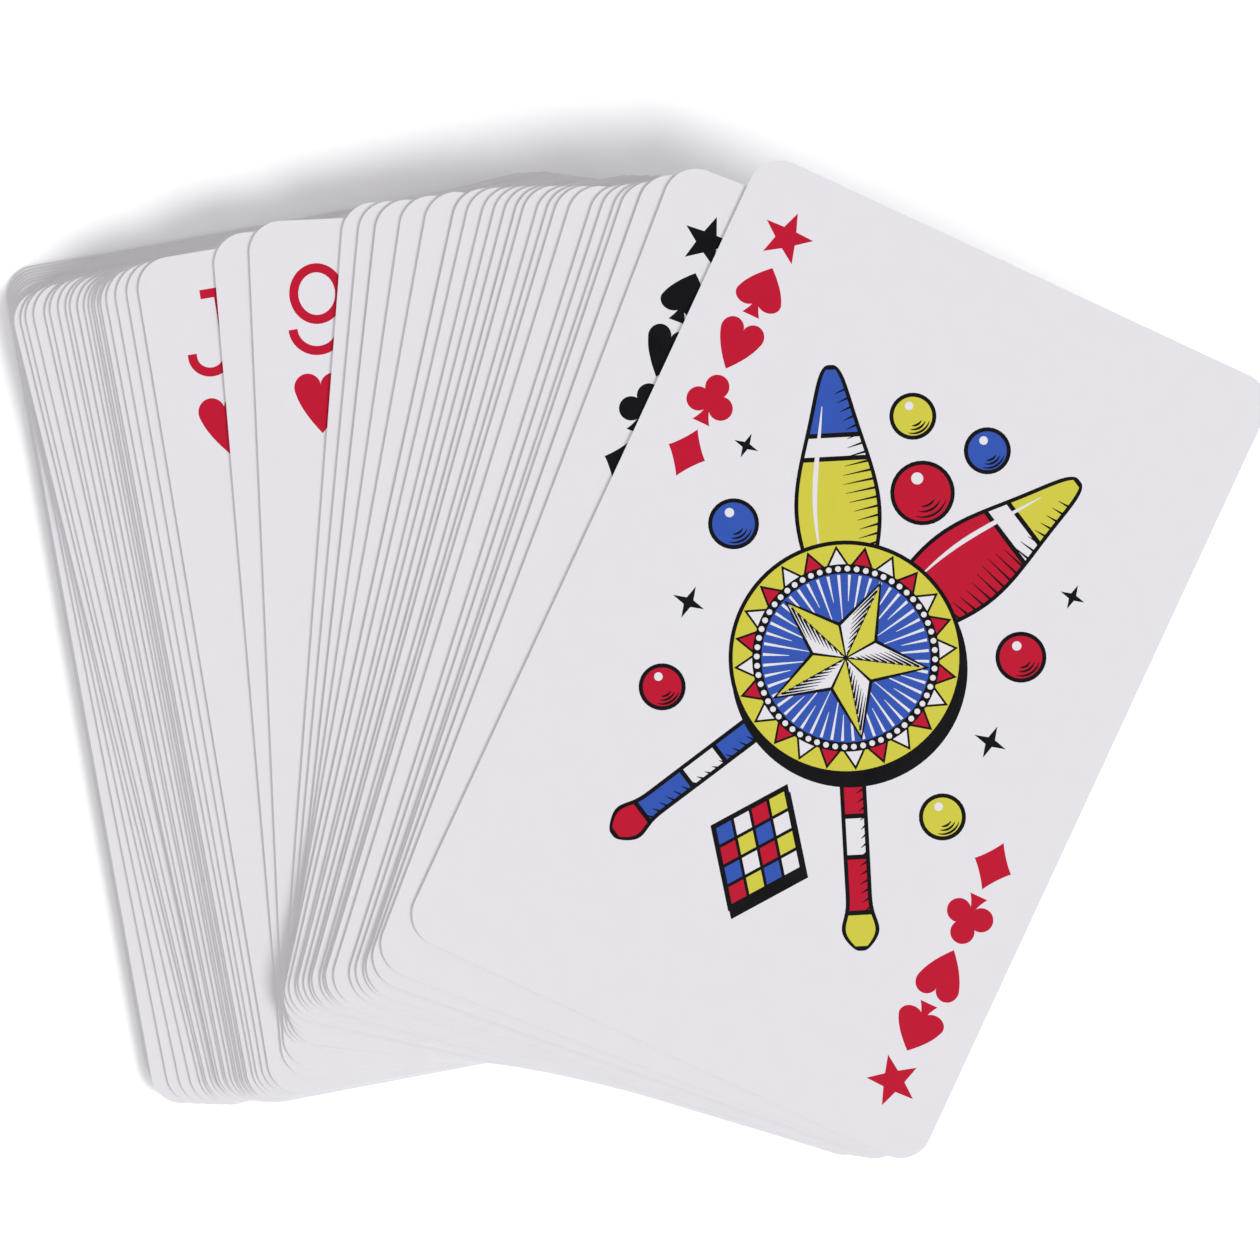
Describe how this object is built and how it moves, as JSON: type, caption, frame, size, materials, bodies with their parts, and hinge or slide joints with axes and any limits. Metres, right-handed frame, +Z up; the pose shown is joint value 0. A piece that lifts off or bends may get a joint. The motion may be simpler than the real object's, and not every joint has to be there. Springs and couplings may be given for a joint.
{
  "type": "playing card deck",
  "caption": "Pack of bridge-size playing cards with round corners, spread in a fan that squares up into a deck.",
  "frame": {"origin": "middle of the bottom card's underside, on the table", "axes": "+Z up through the pack, +Y along the bottom card's length, +X across its width"},
  "size_m": [0.1268, 0.1076, 0.0167],
  "materials": {
    "card_stock": "satin coated white board, printed on both faces"
  },
  "bodies": {
    "king_of_diamonds": {"king_of_diamonds": "card_stock"},
    "queen_of_diamonds": {"queen_of_diamonds": "card_stock"},
    "jack_of_diamonds": {"jack_of_diamonds": "card_stock"},
    "ten_of_diamonds": {"ten_of_diamonds": "card_stock"},
    "nine_of_diamonds": {"nine_of_diamonds": "card_stock"},
    "eight_of_diamonds": {"eight_of_diamonds": "card_stock"},
    "seven_of_diamonds": {"seven_of_diamonds": "card_stock"},
    "six_of_diamonds": {"six_of_diamonds": "card_stock"},
    "five_of_diamonds": {"five_of_diamonds": "card_stock"},
    "four_of_diamonds": {"four_of_diamonds": "card_stock"},
    "three_of_diamonds": {"three_of_diamonds": "card_stock"},
    "two_of_diamonds": {"two_of_diamonds": "card_stock"},
    "ace_of_diamonds": {"ace_of_diamonds": "card_stock"},
    "king_of_clubs": {"king_of_clubs": "card_stock"},
    "queen_of_clubs": {"queen_of_clubs": "card_stock"},
    "jack_of_clubs": {"jack_of_clubs": "card_stock"},
    "ten_of_clubs": {"ten_of_clubs": "card_stock"},
    "nine_of_clubs": {"nine_of_clubs": "card_stock"},
    "eight_of_clubs": {"eight_of_clubs": "card_stock"},
    "seven_of_clubs": {"seven_of_clubs": "card_stock"},
    "six_of_clubs": {"six_of_clubs": "card_stock"},
    "five_of_clubs": {"five_of_clubs": "card_stock"},
    "four_of_clubs": {"four_of_clubs": "card_stock"},
    "three_of_clubs": {"three_of_clubs": "card_stock"},
    "two_of_clubs": {"two_of_clubs": "card_stock"},
    "ace_of_clubs": {"ace_of_clubs": "card_stock"},
    "king_of_hearts": {"king_of_hearts": "card_stock"},
    "queen_of_hearts": {"queen_of_hearts": "card_stock"},
    "jack_of_hearts": {"jack_of_hearts": "card_stock"},
    "ten_of_hearts": {"ten_of_hearts": "card_stock"},
    "nine_of_hearts": {"nine_of_hearts": "card_stock"},
    "eight_of_hearts": {"eight_of_hearts": "card_stock"},
    "seven_of_hearts": {"seven_of_hearts": "card_stock"},
    "six_of_hearts": {"six_of_hearts": "card_stock"},
    "five_of_hearts": {"five_of_hearts": "card_stock"},
    "four_of_hearts": {"four_of_hearts": "card_stock"},
    "three_of_hearts": {"three_of_hearts": "card_stock"},
    "two_of_hearts": {"two_of_hearts": "card_stock"},
    "ace_of_hearts": {"ace_of_hearts": "card_stock"},
    "king_of_spades": {"king_of_spades": "card_stock"},
    "queen_of_spades": {"queen_of_spades": "card_stock"},
    "jack_of_spades": {"jack_of_spades": "card_stock"},
    "ten_of_spades": {"ten_of_spades": "card_stock"},
    "nine_of_spades": {"nine_of_spades": "card_stock"},
    "eight_of_spades": {"eight_of_spades": "card_stock"},
    "seven_of_spades": {"seven_of_spades": "card_stock"},
    "six_of_spades": {"six_of_spades": "card_stock"},
    "five_of_spades": {"five_of_spades": "card_stock"},
    "four_of_spades": {"four_of_spades": "card_stock"},
    "three_of_spades": {"three_of_spades": "card_stock"},
    "two_of_spades": {"two_of_spades": "card_stock"},
    "ace_of_spades": {"ace_of_spades": "card_stock"},
    "black_joker": {"black_joker": "card_stock"},
    "red_joker": {"red_joker": "card_stock"}
  },
  "joints": [
    {"name": "queen_of_diamonds_slide", "type": "slide", "parent": "king_of_diamonds", "child": "queen_of_diamonds", "axis": [0.2865, -0.9581, 0], "range_m": [-0.0003434, 0.000242]},
    {"name": "jack_of_diamonds_slide", "type": "slide", "parent": "king_of_diamonds", "child": "jack_of_diamonds", "axis": [0.2865, -0.9581, 0], "range_m": [-0.00069, 0.00048]},
    {"name": "ten_of_diamonds_slide", "type": "slide", "parent": "king_of_diamonds", "child": "ten_of_diamonds", "axis": [0.2865, -0.9581, 0], "range_m": [-0.00103, 0.00073]},
    {"name": "nine_of_diamonds_slide", "type": "slide", "parent": "king_of_diamonds", "child": "nine_of_diamonds", "axis": [0.2865, -0.9581, 0], "range_m": [-0.00137, 0.00097]},
    {"name": "eight_of_diamonds_slide", "type": "slide", "parent": "king_of_diamonds", "child": "eight_of_diamonds", "axis": [0.2865, -0.9581, 0], "range_m": [-0.00172, 0.00121]},
    {"name": "seven_of_diamonds_swing", "type": "hinge", "parent": "king_of_diamonds", "child": "seven_of_diamonds", "pos_m": [0.10543, 0.099, 0], "axis": [0, 0, -1], "range_deg": [-0.62, 0.88]},
    {"name": "six_of_diamonds_swing", "type": "hinge", "parent": "king_of_diamonds", "child": "six_of_diamonds", "pos_m": [0.04928, 0.07015, 0], "axis": [0, 0, -1], "range_deg": [-1.23, 1.75]},
    {"name": "five_of_diamonds_swing", "type": "hinge", "parent": "king_of_diamonds", "child": "five_of_diamonds", "pos_m": [0.03015, 0.05849, 0], "axis": [0, 0, -1], "range_deg": [-1.85, 2.62]},
    {"name": "four_of_diamonds_swing", "type": "hinge", "parent": "king_of_diamonds", "child": "four_of_diamonds", "pos_m": [0.0199, 0.04954, 0], "axis": [0, 0, -1], "range_deg": [-2.47, 3.5]},
    {"name": "three_of_diamonds_swing", "type": "hinge", "parent": "king_of_diamonds", "child": "three_of_diamonds", "pos_m": [0.02217, 0.06419, 0], "axis": [0, 0, -1], "range_deg": [-2.3, 3.27]},
    {"name": "two_of_diamonds_swing", "type": "hinge", "parent": "king_of_diamonds", "child": "two_of_diamonds", "pos_m": [0.02396, 0.07742, 0], "axis": [0, 0, -1], "range_deg": [-2.14, 3.03]},
    {"name": "ace_of_diamonds_swing", "type": "hinge", "parent": "king_of_diamonds", "child": "ace_of_diamonds", "pos_m": [0.02724, 0.09891, 0], "axis": [0, 0, -1], "range_deg": [-1.97, 2.8]},
    {"name": "king_of_clubs_swing", "type": "hinge", "parent": "king_of_diamonds", "child": "king_of_clubs", "pos_m": [0.03739, 0.13906, 0], "axis": [0, 0, -1], "range_deg": [-1.67, 2.37]},
    {"name": "queen_of_clubs_swing", "type": "hinge", "parent": "king_of_diamonds", "child": "queen_of_clubs", "pos_m": [0.04835, 0.17988, 0], "axis": [0, 0, -1], "range_deg": [-1.36, 1.93]},
    {"name": "jack_of_clubs_swing", "type": "hinge", "parent": "king_of_diamonds", "child": "jack_of_clubs", "pos_m": [0.06767, 0.25562, 0], "axis": [0, 0, -1], "range_deg": [-1.06, 1.5]},
    {"name": "ten_of_clubs_swing", "type": "hinge", "parent": "king_of_diamonds", "child": "ten_of_clubs", "pos_m": [0.08513, 0.31993, 0], "axis": [0, 0, -1], "range_deg": [-0.93, 1.32]},
    {"name": "nine_of_clubs_swing", "type": "hinge", "parent": "king_of_diamonds", "child": "nine_of_clubs", "pos_m": [0.10514, 0.38977, 0], "axis": [0, 0, -1], "range_deg": [-0.8, 1.14]},
    {"name": "eight_of_clubs_swing", "type": "hinge", "parent": "king_of_diamonds", "child": "eight_of_clubs", "pos_m": [0.1359, 0.50341, 0], "axis": [0, 0, -1], "range_deg": [-0.68, 0.96]},
    {"name": "seven_of_clubs_swing", "type": "hinge", "parent": "king_of_diamonds", "child": "seven_of_clubs", "pos_m": [0.17932, 0.66232, 0], "axis": [0, 0, -1], "range_deg": [-0.55, 0.78]},
    {"name": "six_of_clubs_swing", "type": "hinge", "parent": "king_of_diamonds", "child": "six_of_clubs", "pos_m": [0.24508, 0.89787, 0], "axis": [0, 0, -1], "range_deg": [-0.42, 0.6]},
    {"name": "five_of_clubs_swing", "type": "hinge", "parent": "king_of_diamonds", "child": "five_of_clubs", "pos_m": [0.2673, 0.99982, 0], "axis": [0, 0, -1], "range_deg": [-0.3946, 0.5601]},
    {"name": "four_of_clubs_swing", "type": "hinge", "parent": "king_of_diamonds", "child": "four_of_clubs", "pos_m": [0.29089, 1.10663, 0], "axis": [0, 0, -1], "range_deg": [-0.3664, 0.52]},
    {"name": "three_of_clubs_swing", "type": "hinge", "parent": "king_of_diamonds", "child": "three_of_clubs", "pos_m": [0.32057, 1.24298, 0], "axis": [0, 0, -1], "range_deg": [-0.3382, 0.48]},
    {"name": "two_of_clubs_swing", "type": "hinge", "parent": "king_of_diamonds", "child": "two_of_clubs", "pos_m": [0.35323, 1.39134, 0], "axis": [0, 0, -1], "range_deg": [-0.31, 0.44]},
    {"name": "ace_of_clubs_swing", "type": "hinge", "parent": "king_of_diamonds", "child": "ace_of_clubs", "pos_m": [0.35907, 1.62556, 0], "axis": [0, 0, -1], "range_deg": [-0.2819, 0.4]},
    {"name": "king_of_hearts_slide", "type": "slide", "parent": "king_of_diamonds", "child": "king_of_hearts", "axis": [0.9793, -0.2023, 0], "range_m": [-0.01236, 0.00871]},
    {"name": "queen_of_hearts_swing", "type": "hinge", "parent": "king_of_diamonds", "child": "queen_of_hearts", "pos_m": [-0.36095, -1.87007, 0], "axis": [0, 0, -1], "range_deg": [-0.4, 0.2819]},
    {"name": "jack_of_hearts_swing", "type": "hinge", "parent": "king_of_diamonds", "child": "jack_of_hearts", "pos_m": [-0.18136, -1.00361, 0], "axis": [0, 0, -1], "range_deg": [-0.8, 0.56]},
    {"name": "ten_of_hearts_swing", "type": "hinge", "parent": "king_of_diamonds", "child": "ten_of_hearts", "pos_m": [-0.0273, -0.20139, 0], "axis": [0, 0, -1], "range_deg": [-5.4, 3.8]},
    {"name": "nine_of_hearts_swing", "type": "hinge", "parent": "king_of_diamonds", "child": "nine_of_hearts", "pos_m": [-0.01762, -0.15476, 0], "axis": [0, 0, -1], "range_deg": [-7.8, 5.5]},
    {"name": "eight_of_hearts_swing", "type": "hinge", "parent": "king_of_diamonds", "child": "eight_of_hearts", "pos_m": [-0.00977, -0.10166, 0], "axis": [0, 0, -1], "range_deg": [-14.6, 10.29]},
    {"name": "seven_of_hearts_swing", "type": "hinge", "parent": "king_of_diamonds", "child": "seven_of_hearts", "pos_m": [-0.00945, -0.09891, 0], "axis": [0, 0, -1], "range_deg": [-15.6, 10.99]},
    {"name": "six_of_hearts_swing", "type": "hinge", "parent": "king_of_diamonds", "child": "six_of_hearts", "pos_m": [-0.00909, -0.09651, 0], "axis": [0, 0, -1], "range_deg": [-16.6, 11.7]},
    {"name": "five_of_hearts_swing", "type": "hinge", "parent": "king_of_diamonds", "child": "five_of_hearts", "pos_m": [-0.00768, -0.08951, 0], "axis": [0, 0, -1], "range_deg": [-18.6, 13.1]},
    {"name": "four_of_hearts_swing", "type": "hinge", "parent": "king_of_diamonds", "child": "four_of_hearts", "pos_m": [-0.00635, -0.08392, 0], "axis": [0, 0, -1], "range_deg": [-20.6, 14.51]},
    {"name": "three_of_hearts_swing", "type": "hinge", "parent": "king_of_diamonds", "child": "three_of_hearts", "pos_m": [-0.00507, -0.08012, 0], "axis": [0, 0, -1], "range_deg": [-22.6, 15.92]},
    {"name": "two_of_hearts_swing", "type": "hinge", "parent": "king_of_diamonds", "child": "two_of_hearts", "pos_m": [-0.00476, -0.08006, 0], "axis": [0, 0, -1], "range_deg": [-23.27, 16.39]},
    {"name": "ace_of_hearts_swing", "type": "hinge", "parent": "king_of_diamonds", "child": "ace_of_hearts", "pos_m": [-0.00442, -0.08048, 0], "axis": [0, 0, -1], "range_deg": [-23.93, 16.86]},
    {"name": "king_of_spades_swing", "type": "hinge", "parent": "king_of_diamonds", "child": "king_of_spades", "pos_m": [-0.00409, -0.07994, 0], "axis": [0, 0, -1], "range_deg": [-24.6, 17.33]},
    {"name": "queen_of_spades_swing", "type": "hinge", "parent": "king_of_diamonds", "child": "queen_of_spades", "pos_m": [-0.00397, -0.08068, 0], "axis": [0, 0, -1], "range_deg": [-24.97, 17.59]},
    {"name": "jack_of_spades_swing", "type": "hinge", "parent": "king_of_diamonds", "child": "jack_of_spades", "pos_m": [-0.00384, -0.0814, 0], "axis": [0, 0, -1], "range_deg": [-25.33, 17.85]},
    {"name": "ten_of_spades_swing", "type": "hinge", "parent": "king_of_diamonds", "child": "ten_of_spades", "pos_m": [-0.00373, -0.08142, 0], "axis": [0, 0, -1], "range_deg": [-25.7, 18.11]},
    {"name": "nine_of_spades_swing", "type": "hinge", "parent": "king_of_diamonds", "child": "nine_of_spades", "pos_m": [-0.00354, -0.08245, 0], "axis": [0, 0, -1], "range_deg": [-26.14, 18.42]},
    {"name": "eight_of_spades_swing", "type": "hinge", "parent": "king_of_diamonds", "child": "eight_of_spades", "pos_m": [-0.00339, -0.08259, 0], "axis": [0, 0, -1], "range_deg": [-26.58, 18.73]},
    {"name": "seven_of_spades_swing", "type": "hinge", "parent": "king_of_diamonds", "child": "seven_of_spades", "pos_m": [-0.00325, -0.08229, 0], "axis": [0, 0, -1], "range_deg": [-27.02, 19.04]},
    {"name": "six_of_spades_swing", "type": "hinge", "parent": "king_of_diamonds", "child": "six_of_spades", "pos_m": [-0.00303, -0.08326, 0], "axis": [0, 0, -1], "range_deg": [-27.46, 19.35]},
    {"name": "five_of_spades_swing", "type": "hinge", "parent": "king_of_diamonds", "child": "five_of_spades", "pos_m": [-0.00245, -0.08592, 0], "axis": [0, 0, -1], "range_deg": [-27.9, 19.66]},
    {"name": "four_of_spades_swing", "type": "hinge", "parent": "king_of_diamonds", "child": "four_of_spades", "pos_m": [-0.00201, -0.08669, 0], "axis": [0, 0, -1], "range_deg": [-28.23, 19.89]},
    {"name": "three_of_spades_swing", "type": "hinge", "parent": "king_of_diamonds", "child": "three_of_spades", "pos_m": [-0.00155, -0.08765, 0], "axis": [0, 0, -1], "range_deg": [-28.57, 20.13]},
    {"name": "two_of_spades_swing", "type": "hinge", "parent": "king_of_diamonds", "child": "two_of_spades", "pos_m": [-0.00116, -0.08758, 0], "axis": [0, 0, -1], "range_deg": [-28.9, 20.36]},
    {"name": "ace_of_spades_swing", "type": "hinge", "parent": "king_of_diamonds", "child": "ace_of_spades", "pos_m": [0.00059, -0.08719, 0], "axis": [0, 0, -1], "range_deg": [-29.8, 21]},
    {"name": "black_joker_swing", "type": "hinge", "parent": "king_of_diamonds", "child": "black_joker", "pos_m": [0.00252, -0.08634, 0], "axis": [0, 0, -1], "range_deg": [-31.1, 21.91]},
    {"name": "red_joker_swing", "type": "hinge", "parent": "king_of_diamonds", "child": "red_joker", "pos_m": [0.00645, -0.08483, 0], "axis": [0, 0, -1], "range_deg": [-35.2, 24.8]}
  ],
  "couplings": [
    {"joint": "queen_of_diamonds_slide", "follows": "red_joker_swing", "m_per_rad": 0.00055894},
    {"joint": "jack_of_diamonds_slide", "follows": "red_joker_swing", "m_per_rad": 0.0011179},
    {"joint": "ten_of_diamonds_slide", "follows": "red_joker_swing", "m_per_rad": 0.0016768},
    {"joint": "nine_of_diamonds_slide", "follows": "red_joker_swing", "m_per_rad": 0.0022358},
    {"joint": "eight_of_diamonds_slide", "follows": "red_joker_swing", "m_per_rad": 0.0027947},
    {"joint": "seven_of_diamonds_swing", "follows": "red_joker_swing", "ratio": -0.024858},
    {"joint": "six_of_diamonds_swing", "follows": "red_joker_swing", "ratio": -0.049716},
    {"joint": "five_of_diamonds_swing", "follows": "red_joker_swing", "ratio": -0.074574},
    {"joint": "four_of_diamonds_swing", "follows": "red_joker_swing", "ratio": -0.099432},
    {"joint": "three_of_diamonds_swing", "follows": "red_joker_swing", "ratio": -0.092803},
    {"joint": "two_of_diamonds_swing", "follows": "red_joker_swing", "ratio": -0.086174},
    {"joint": "ace_of_diamonds_swing", "follows": "red_joker_swing", "ratio": -0.079545},
    {"joint": "king_of_clubs_swing", "follows": "red_joker_swing", "ratio": -0.067235},
    {"joint": "queen_of_clubs_swing", "follows": "red_joker_swing", "ratio": -0.054924},
    {"joint": "jack_of_clubs_swing", "follows": "red_joker_swing", "ratio": -0.042614},
    {"joint": "ten_of_clubs_swing", "follows": "red_joker_swing", "ratio": -0.0375},
    {"joint": "nine_of_clubs_swing", "follows": "red_joker_swing", "ratio": -0.032386},
    {"joint": "eight_of_clubs_swing", "follows": "red_joker_swing", "ratio": -0.027273},
    {"joint": "seven_of_clubs_swing", "follows": "red_joker_swing", "ratio": -0.022159},
    {"joint": "six_of_clubs_swing", "follows": "red_joker_swing", "ratio": -0.017045},
    {"joint": "five_of_clubs_swing", "follows": "red_joker_swing", "ratio": -0.015909},
    {"joint": "four_of_clubs_swing", "follows": "red_joker_swing", "ratio": -0.014773},
    {"joint": "three_of_clubs_swing", "follows": "red_joker_swing", "ratio": -0.013636},
    {"joint": "two_of_clubs_swing", "follows": "red_joker_swing", "ratio": -0.0125},
    {"joint": "ace_of_clubs_swing", "follows": "red_joker_swing", "ratio": -0.011364},
    {"joint": "king_of_hearts_slide", "follows": "red_joker_swing", "m_per_rad": 0.020114},
    {"joint": "queen_of_hearts_swing", "follows": "red_joker_swing", "ratio": 0.011364},
    {"joint": "jack_of_hearts_swing", "follows": "red_joker_swing", "ratio": 0.022727},
    {"joint": "ten_of_hearts_swing", "follows": "red_joker_swing", "ratio": 0.15341},
    {"joint": "nine_of_hearts_swing", "follows": "red_joker_swing", "ratio": 0.22159},
    {"joint": "eight_of_hearts_swing", "follows": "red_joker_swing", "ratio": 0.41477},
    {"joint": "seven_of_hearts_swing", "follows": "red_joker_swing", "ratio": 0.44318},
    {"joint": "six_of_hearts_swing", "follows": "red_joker_swing", "ratio": 0.47159},
    {"joint": "five_of_hearts_swing", "follows": "red_joker_swing", "ratio": 0.52841},
    {"joint": "four_of_hearts_swing", "follows": "red_joker_swing", "ratio": 0.58523},
    {"joint": "three_of_hearts_swing", "follows": "red_joker_swing", "ratio": 0.64205},
    {"joint": "two_of_hearts_swing", "follows": "red_joker_swing", "ratio": 0.66099},
    {"joint": "ace_of_hearts_swing", "follows": "red_joker_swing", "ratio": 0.67992},
    {"joint": "king_of_spades_swing", "follows": "red_joker_swing", "ratio": 0.69886},
    {"joint": "queen_of_spades_swing", "follows": "red_joker_swing", "ratio": 0.70928},
    {"joint": "jack_of_spades_swing", "follows": "red_joker_swing", "ratio": 0.7197},
    {"joint": "ten_of_spades_swing", "follows": "red_joker_swing", "ratio": 0.73011},
    {"joint": "nine_of_spades_swing", "follows": "red_joker_swing", "ratio": 0.74261},
    {"joint": "eight_of_spades_swing", "follows": "red_joker_swing", "ratio": 0.75511},
    {"joint": "seven_of_spades_swing", "follows": "red_joker_swing", "ratio": 0.76761},
    {"joint": "six_of_spades_swing", "follows": "red_joker_swing", "ratio": 0.78011},
    {"joint": "five_of_spades_swing", "follows": "red_joker_swing", "ratio": 0.79261},
    {"joint": "four_of_spades_swing", "follows": "red_joker_swing", "ratio": 0.80208},
    {"joint": "three_of_spades_swing", "follows": "red_joker_swing", "ratio": 0.81155},
    {"joint": "two_of_spades_swing", "follows": "red_joker_swing", "ratio": 0.82102},
    {"joint": "ace_of_spades_swing", "follows": "red_joker_swing", "ratio": 0.84659},
    {"joint": "black_joker_swing", "follows": "red_joker_swing", "ratio": 0.88352}
  ]
}
